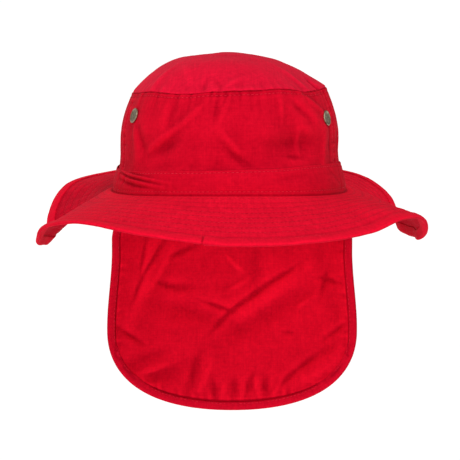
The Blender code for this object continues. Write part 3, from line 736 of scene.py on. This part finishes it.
def brassFinish():
    f = Finish("antique_brass", 0.42, 1.0)
    place = f.node("ShaderNodeTexCoord", out="Object")
    blotch, grain = f.noise(place, 420.0, 4.0, 0.6), f.noise(place, 2600.0)
    tones = [(0.30, (0.16, 0.125, 0.08, 1)), (0.55, (0.36, 0.30, 0.20, 1)), (0.80, (0.56, 0.49, 0.36, 1))]
    f.feed(
        Base_Color=f.node("ShaderNodeValToRGB", {"stops": tones}, {0: blotch}),
        Roughness=blotch * -0.3 + grain * 0.15 + 0.52,
        Normal=f.bump(0.25, 0.0002, grain * 0.4 + blotch),
    )
    return f.material


crownCotton = cottonFinish("crown_canvas", "crown")
tipCotton = cottonFinish("tip_canvas_painted_lighter", "tip")
brimCotton = cottonFinish("brim_canvas", "brim")
flapCotton = cottonFinish("flap_poplin", "flap")
tapeCotton = cottonFinish("cotton_binding", "tape")
thread = threadFinish()
brass = brassFinish()
print("finishes made")


# Rows with closer ones at both ends, where the cloth turns in to a seam
def rowsTightAt(first, last, step, tight=0.25, reach=2.0):
    starts, ends = spread(first, first + reach, tight), spread(last - reach, last, tight)
    return np.concatenate([starts[:-1], spread(first + reach, last - reach, step), ends[1:]])


def sideCut(turn, rise):
    return turn * side["perDegree"], rise * side["height"]


def buildSide():
    left, right = side["seamTurns"]
    gap, under = side["seamGap"], side["seamUnderlap"]
    rises = rowsTightAt(-0.8, side["height"] + side["underTip"], 1.25) / side["height"]

    # Painted shade darkens the front's tip seam and the middle of the front
    def darkening(turn, rise):
        seam = (0.2 + 0.8 * ridge(turnBetween(turn, 280), 14)) * ridge((1 - rise) * side["height"], 1.2)
        return -seam - 0.45 * ridge(turnBetween(turn, 276), 22)

    made = []
    for name, node, first, last, sunk in (
        ("side_front", "crown_front", left + gap, right - gap, 0),
        ("side_back", "crown_back", right - 360 - under, left + under, side["seamSunk"]),
    ):
        turns = rowsTightAt(first, last, 0.85, 0.2, 1.6)

        # The back panel's edges go on under the front panel's
        def place(turn, rise):
            beyond = np.maximum(first - turn, turn - last) + under - gap
            return sideSkin(turn, rise, -sunk * smooth(beyond * side["perDegree"] / 0.5))

        panel = layCloth(name, place, turns, rises, sideCut, crownCotton, darkening=darkening)
        made.append(finishSheet(panel, (0, 0, 0.04), side["cloth"], node))
    return made


def buildTip():
    turns = np.linspace(0, 360, 361)
    half = tip["width"] / 2
    inward = np.concatenate([spread(0.3, 2.3, 0.25)[:-1], spread(2.3, half, 1.2)]) / half
    flat = lambda turn, inward: tuple(np.moveaxis(tipFace(turn, inward), -1, 0)[:2])
    # Painted shade darkens the dent at the right end of the tip
    dent = lambda turn, inward: -2.2 * ridge(turnBetween(turn, 336), 4) * ridge(inward * half, 4)
    made = layCloth("tip", tipSkin, turns, inward, flat, tipCotton, around=True, darkening=dent)
    return finishSheet(made, (0, 0, 0), side["cloth"], "crown_tip")


# The band is one closed loop of cloth: up its face, over the edge and down its back
def buildBand():
    turns = np.linspace(0, 360, 541)
    rises = rowsTightAt(-band["intoBrim"], band["height"], 0.6, 0.2, 1.0)
    half = band["cloth"] / 2
    ups = np.concatenate([rises, [band["height"] + 0.25], rises[::-1], [rises[0] - 0.1, rises[0]]])
    lifts = np.concatenate([rises * 0, [-half], rises * 0 - 2 * half, [-half, 0]])
    rounding = ridge(np.minimum(rises - rises[0], band["height"] - rises), 0.3) * half * 0.6
    lifts[: len(rises)] -= rounding
    lifts[len(rises) + 1 : 2 * len(rises) + 1] += rounding[::-1]
    steps = np.arange(len(ups))
    place = lambda turn, step: bandSkin(turn, ups[step] / side["height"], lifts[step])
    flat = lambda turn, step: sideCut(turn, ups[step] / side["height"])
    # Painted shade darkens the band's foot, in the seam with the brim
    foot = lambda turn, step: -1.5 * ridge(ups[step] - 0.1, 0.6)  # deeper in the seam with the brim
    made = layCloth(
        "band_cloth", place, turns, steps, flat, crownCotton, around=True, darkening=foot
    )
    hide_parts("band")
    return made


sidePanels = buildSide()
tipCloth = buildTip()
bandCloth = buildBand()
print("crown laid:", sum(len(o.data.polygons) for o in sidePanels + [tipCloth, bandCloth]), "faces")


# The brim is one closed loop too: out over its top and back underneath
def buildBrim():
    turns = np.linspace(0, 360, 641)
    outer = brim["width"] - 1.6
    reaches = np.concatenate([spread(0.4, 2.4, 1.0), spread(2.8, 4.4, 0.4), spread(5.2, outer, 1.2)])
    ups = np.concatenate([reaches, reaches[::-1], reaches[:1]])
    onTop = np.concatenate([reaches > 0, reaches < 0, [True]])
    steps = np.arange(len(ups))

    def place(turn, step):
        quilt = brimQuilt(turn, ups[step])
        lift = np.where(onTop[step], quilt, -brim["board"] - quilt)
        points, normals = brimSkin(turn, ups[step], lift)
        return points, normals * np.where(onTop[step], 1, -1)[:, None]

    def flat(turn, step):
        radius = (head["width"] + head["length"]) / 4 + ups[step]
        return radius * np.cos(np.radians(turn)), radius * np.sin(np.radians(turn))

    # Painted shade darkens the seam, the left rear and the underside
    def darkening(turn, step):
        seam, rear = 1.6 * ridge(ups[step] - 3.3, 0.7), 1.7 * ridge(turnBetween(turn, 156), 24)
        return np.where(onTop[step], -seam - rear, -2.2)

    made = layCloth(
        "brim_cloth", place, turns, steps, flat, brimCotton, around=True, darkening=darkening
    )
    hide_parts("brim")
    return made


# A folded tape's section, as (inward from its fold, off the face): top face, fold, then under.
# The core is the thickness that it folds round, and the air is the room on each side of it.
def tapeSection(width, core, air, thickness=0.6):
    top, under = air, -core - air
    radius = (top - under) / 2 + thickness
    middle = (top + under) / 2
    outer, inner = [], []
    for inward in (width, width - 0.5, width * 0.72, width * 0.45, radius + 0.6):
        outer.append((inward, top + thickness))
        inner.append((inward, top))
    for angle in (60, 30, 0, -30, -60):
        a = math.radians(angle)
        for line, r in ((outer, radius), (inner, radius - thickness)):
            line.append((radius - r * math.cos(a), middle + r * math.sin(a)))
    for inward in (radius + 0.6, width * 0.45, width * 0.72, width - 0.5, width):
        outer.append((inward, under - thickness))
        inner.append((inward, under))
    outer[0], outer[-1] = (width, top + thickness * 0.45), (width, under - thickness * 0.45)
    return outer + inner[::-1] + outer[:1]


def buildBrimBinding():
    join = brim["bindingJoin"]
    turns = np.sort(np.concatenate([np.linspace(0, 360, 721), join + np.arange(-4, 5) * 0.11]))
    section = np.array(tapeSection(brim["bindingWidth"], brim["board"], 0.1))
    steps = np.arange(len(section))
    half = brim["board"] / 2

    def place(turn, step):
        inward, off = section[step].T
        swell = 0.12 * lumps(turn / 1.6, inward / 4, 225, 45) + 0.14 * lumps(turn / 6, inward / 9, 60, 46)
        puff = 0.18 * ridge(inward - brim["bindingWidth"] / 2, 2.2)
        puff -= 0.22 * ridge(inward - brim["bindingWidth"] + brim["bindingStitch"], 0.6)
        past = turnBetween(turn, join)
        ledge = 0.55 * smooth(past / 0.5) * smooth((5 - past) / 4) - 0.9 * ridge(past, 0.3)
        face = np.where(off > -half, 1.0, -1.0) * (np.abs(off + half) > half + 0.3)
        lift = off + face * (swell + puff + ledge)
        points, normals = brimSkin(turn, brim["width"] - inward, lift)
        return points, normals * np.where(off > -half, 1, -1)[:, None]

    flat = lambda turn, step: (turn * 2.8, section[step, 0] * np.where(section[step, 1] > 0, 1, -1))

    # Painted shade darkens the notch where the tape's ends meet and the tape's underside
    def darkening(turn, step):
        under = section[step, 1] < -half - 0.3
        return -2.6 * ridge(turnBetween(turn, join), 0.25) - 1.2 * under

    made = layCloth(
        "brim_binding", place, turns, steps, flat, tapeCotton, around=True, darkening=darkening
    )
    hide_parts("brim_tape")
    return made


brimCloth = buildBrim()
brimBinding = buildBrimBinding()
print("brim laid:", len(brimCloth.data.polygons) + len(brimBinding.data.polygons), "faces")


# A place on the flap's free edge and the way out of it, from the top at -X (-1) to the top at +X (1)
def flapEdge(share):
    half = flap["width"] / 2
    across = np.sin(np.clip(share / 0.5, -1, 1) * np.pi / 2)
    step = 1e-4
    slope = (flapHem(across + step) - flapHem(across - step)) / (2 * step * half)
    onSide = (np.abs(share) >= 0.5) | (1 - np.abs(across) < step)
    down = (1 - np.abs(share)) / 0.5
    here = np.stack([across * half, flapHem(across)], -1)
    corner = flapHem(np.ones_like(share))
    onEdge = np.stack([np.sign(share) * half, -flap["tuck"] + (flap["tuck"] + corner) * down], -1)
    here = np.where((np.abs(share) >= 0.5)[..., None], onEdge, here)
    out = np.stack([-slope, np.ones_like(slope)], -1)
    out = out / np.linalg.norm(out, axis=-1, keepdims=True)
    out = np.where(onSide[..., None], np.stack([np.sign(share), share * 0], -1), out)
    return here, out


def buildFlap():
    shares = np.linspace(-0.5, 0.5, 191)
    downs = np.linspace(0, 1, 185)

    def onPlan(share, down):
        here, out = flapEdge(share)
        foot = here - out * flap["intoBinding"]
        return foot[..., 0], -flap["tuck"] + (flap["tuck"] + foot[..., 1]) * down

    place = lambda share, down: flapSkin(*onPlan(share, down), 0.85)

    # Painted shade darkens the dip beside the tape
    def darkening(share, down):
        return -2.2 * ridge(flapInside(*onPlan(share, down)) - flap["bindingWidth"] - 0.2, 0.8)

    made = layCloth("flap", place, shares, downs, onPlan, flapCotton, darkening=darkening)
    return finishSheet(made, (0, 2.0, -0.1), flap["cloth"], "neck_flap")


def buildFlapBinding():
    hem, top = np.linspace(-0.5, 0.5, 281), np.linspace(0.5, 1, 111)
    shares = np.concatenate([np.linspace(-1, -0.5, 111)[:-1], hem, top[1:]])
    section = np.array(tapeSection(flap["bindingWidth"], flap["bindingCore"], 0.15))
    steps = np.arange(len(section))
    half = flap["bindingCore"] / 2

    def place(share, step):
        inward, off = section[step].T
        here, out = flapEdge(share)
        at = here - out * inward[..., None]
        swell = 0.14 * lumps(share * 90 + 200, inward / 4, 400, 55)
        swell += 0.12 * lumps(share * 24 + 60, inward / 9, 120, 56)
        puff = 0.20 * ridge(inward - flap["bindingWidth"] / 2, 2.0)
        puff -= 0.2 * ridge(inward - flap["bindingWidth"] + flap["bindingStitch"], 0.5)
        face = np.where(off > -half, 1.0, -1.0) * (np.abs(off + half) > half + 0.3)
        points, normals = flapSkin(at[..., 0], at[..., 1], -(off + face * (swell + puff)))
        return points, normals * np.where(off > -half, -1, 1)[:, None]

    flat = lambda share, step: (share * 280, section[step, 0] * np.where(section[step, 1] > 0, 1, -1))
    # The whole tape is drawn darker
    deeper = lambda share, step: share * 0 - 1.7
    made = layCloth(
        "flap_binding", place, shares, steps, flat, tapeCotton,
        ring=True, cap=True, darkening=deeper,
    )
    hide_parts("flap_tape")
    return made


flapCloth = buildFlap()
flapBinding = buildFlapBinding()
print("flap laid:", len(flapCloth.data.polygons) + len(flapBinding.data.polygons), "faces")


stitch = {
    "length": 2.5,
    "pitch": 3.3,
    "wide": 0.42,
    "high": 0.30,
    "overBrim": 0.5,  # the binding's stitches lie this far off the brim, sunk a little into the tape
    "overFlap": 0.59,
}


# One thread capsule at each pitch along a row of points
def sewRow(rows, points, normals):
    run = np.concatenate([[0], np.cumsum(np.linalg.norm(np.diff(points, axis=0), axis=1))])
    count = int(run[-1] / stitch["pitch"])
    at, half = (np.arange(count) + 0.5) * run[-1] / max(count, 1), stitch["length"] / 2
    read = lambda values, where: np.stack([np.interp(where, run, values[:, k]) for k in range(3)], -1)
    middle, up = read(points, at), read(normals, at)
    ahead = read(points, at + half) - read(points, at - half)
    bm = bmesh.new()
    for centre, tangent, normal in zip(middle, ahead, up):
        size = np.linalg.norm(tangent)
        if size < 1e-6:
            continue
        tangent = tangent / size
        across = np.cross(normal, tangent)
        across /= np.linalg.norm(across)
        normal = np.cross(tangent, across)
        axes = np.eye(4)
        axes[:3, 0] = across * stitch["wide"] / 2 * mm
        axes[:3, 1] = normal * stitch["high"] / 2 * mm
        axes[:3, 2] = tangent * half * mm
        axes[:3, 3] = (centre + normal * 0.06) * mm
        bmesh.ops.create_uvsphere(bm, u_segments=5, v_segments=3, radius=1, matrix=Matrix(axes.tolist()))
    rows.append(bm)


# A row on the cloth's face and one on its back
def sewBoth(rows, skin, u, v, over, under):
    sewRow(rows, *skin(u, v, over))
    points, normals = skin(u, v, under)
    sewRow(rows, points, -normals)


def gatherRows(name, rows):
    whole = bmesh.new()
    for bm in rows:
        part = bpy.data.meshes.new("row")
        bm.to_mesh(part)
        bm.free()
        whole.from_mesh(part)
        bpy.data.meshes.remove(part)
    bmesh.ops.recalc_face_normals(whole, faces=whole.faces)
    return newObject(name, whole, thread)


headTurns = np.linspace(0, 360, 1441)


def sewBrim():
    rows = []
    for reach in brimRows:
        across = headTurns * 0 + reach
        quilt = brimQuilt(headTurns, across)
        sewBoth(rows, brimSkin, headTurns, across, quilt, -brim["board"] - quilt)
    return gatherRows("brim_stitches", rows)


def sewBinding():
    rows = []
    across = headTurns * 0 + brim["width"] - brim["bindingWidth"] + brim["bindingStitch"]
    over = stitch["overBrim"]
    sewBoth(rows, brimSkin, headTurns, across, over, -brim["board"] - over)
    here, out = flapEdge(np.linspace(-0.93, 0.93, 900))
    at = here - out * (flap["bindingWidth"] - flap["bindingStitch"])
    over = stitch["overFlap"]
    sewBoth(rows, flapSkin, at[:, 0], at[:, 1], flap["bindingCore"] + over, -over)
    return gatherRows("binding_stitches", rows)


def sewCrown():
    rows = []
    for skin, up in (
        (sideSkin, side["height"] - side["topstitch"]),
        (bandSkin, band["height"] - band["topStitch"]),
        (bandSkin, band["footStitch"]),
    ):
        sewRow(rows, *skin(headTurns, headTurns * 0 + up / side["height"]))
    rises = np.linspace(band["height"] + 1.0, side["height"] - 3.4, 120) / side["height"]
    near, far = side["seamStitches"]
    for seam in side["seamTurns"]:
        for off in (-far, -near, near, far):
            sewRow(rows, *sideSkin(rises * 0 + seam + off / side["perDegree"], rises))
    return gatherRows("crown_stitches", rows)


stitches = [sewBrim(), sewBinding(), sewCrown()]
print("stitches sewn:", sum(len(o.data.polygons) for o in stitches), "faces")


# A turned cap with its post and back plate, set square on the crown's side
def buildSnap(name, node, turn, rise):
    r, h = snaps["radius"], snaps["height"]
    rim, dot, dished = snaps["rim"], snaps["dot"], h - snaps["dish"]
    profile = [
        (0, dished + 0.10), (dot, dished + 0.08), (dot + 0.5, dished), (r - rim - 0.5, dished),
        (r - rim - 0.1, h - 0.1), (r - rim / 2, h), (r - 0.15, h - 0.15), (r, h - 0.5), (r - 0.1, 0.45),
        (r - 0.6, 0.25), (2.0, 0.25), (2.0, -1.9), (5.0, -1.9), (5.0, -2.7), (4.6, -2.9), (0, -2.9),
    ]
    bm = bmesh.new()
    dots = [bm.verts.new((x * mm, 0, z * mm)) for x, z in profile]
    edges = [bm.edges.new(pair) for pair in zip(dots, dots[1:])]
    bmesh.ops.spin(
        bm, geom=dots + edges, axis=(0, 0, 1), cent=(0, 0, 0), angle=2 * math.pi, steps=48, use_merge=True
    )
    bmesh.ops.remove_doubles(bm, verts=bm.verts, dist=1e-6)
    bmesh.ops.recalc_face_normals(bm, faces=bm.faces)
    at = np.array([float(turn)]), np.array([float(rise)])
    foot, _ = pushed(sideFace, *at, side["wall"])
    above, _ = pushed(sideFace, *at, 2 * side["wall"])
    seat = Vector(above[0] - foot[0]).to_track_quat("Z", "Y").to_matrix().to_4x4()
    seat.translation = Vector(foot[0]) * mm
    bmesh.ops.transform(bm, matrix=seat, verts=bm.verts)
    made = newObject(name, bm, brass)
    soft = made.modifiers.new("rounding", "SUBSURF")
    soft.levels = soft.render_levels = 1
    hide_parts(node)


for which, place in zip(("left", "right"), snaps["places"]):
    buildSnap(which + "_snap", "snap_" + which, *place)
print("snaps set")


# A pale floor, soft light, and a camera at the photograph's viewing angle
studio = {
    "floorAt": -1.6,  # in metres, as the camera's distance is
    "floorSize": 600,
    "elevation": 7.0,
    "distance": 1.6,
    "picture": 460,  # its width and height in pixels
    "mmPerPixel": 0.77,
    "originPixel": (229.3, 189.0),
    # name, towards the light, power, and how wide it looks in degrees
    "lights": [
        ("front", (-0.35, -1.0, 0.08), 1.5, 20),
        ("top", (0.28, -0.85, 1.05), 1.7, 18),
        ("rear", (-0.4, 1.0, 0.6), 0.5, 40),
    ],
    "sky": 0.27,
}


def buildStudio():
    bm = bmesh.new()
    bmesh.ops.create_grid(bm, x_segments=8, y_segments=8, size=studio["floorSize"])
    bmesh.ops.translate(bm, verts=bm.verts, vec=(0, 0, studio["floorAt"]))
    mesh = bpy.data.meshes.new("floor")
    bm.to_mesh(mesh)
    bm.free()
    floor = bpy.data.objects.new("floor", mesh)
    bpy.context.scene.collection.objects.link(floor)
    glow = {"Specular IOR Level": 0.1, "Emission Color": (1, 1, 1, 1), "Emission Strength": 0.32}
    paper = Finish("pale_floor", 0.9, 0.0, glow)
    grain = paper.noise(paper.node("ShaderNodeTexCoord", out="Object"), 3.0)
    paper.feed(Base_Color=paper.mix(grain, rgba((0.90, 0.90, 0.90)), rgba((0.93, 0.93, 0.93))))
    mesh.materials.append(paper.material)

    def softLight(name, direction, power, spread):
        light = bpy.data.lights.new(name, "SUN")
        light.energy, light.angle = power, math.radians(spread)
        made = bpy.data.objects.new(name, light)
        made.rotation_euler = Vector(direction).to_track_quat("Z", "Y").to_euler()
        made.location = Vector(direction) * 2
        bpy.context.scene.collection.objects.link(made)

    for name, direction, power, spread in studio["lights"]:
        softLight(name, direction, power, spread)

    world = bpy.data.worlds.new("studio")
    world.use_nodes = True
    sky = world.node_tree.nodes["Background"]
    sky.inputs[0].default_value, sky.inputs[1].default_value = (1, 1, 1, 1), studio["sky"]
    bpy.context.scene.world = world
    bpy.context.scene.view_settings.view_transform = "Standard"

    angle = math.radians(studio["elevation"])
    back, up = Vector((0, -math.cos(angle), math.sin(angle))), Vector((0, math.sin(angle), math.cos(angle)))
    perPixel = studio["mmPerPixel"] * mm
    middle = studio["picture"] / 2
    target = Vector((1, 0, 0)) * (middle - studio["originPixel"][0]) * perPixel
    target += up * (studio["originPixel"][1] - middle) * perPixel
    lens = bpy.data.cameras.new("camera")
    lens.sensor_width = 36
    lens.lens = lens.sensor_width * studio["distance"] / (studio["picture"] * perPixel)
    camera = bpy.data.objects.new("camera", lens)
    camera.location = target + back * studio["distance"]
    camera.rotation_euler = (-back).to_track_quat("-Z", "Y").to_euler()
    bpy.context.scene.collection.objects.link(camera)
    bpy.context.scene.camera = camera


buildStudio()
print("studio set")
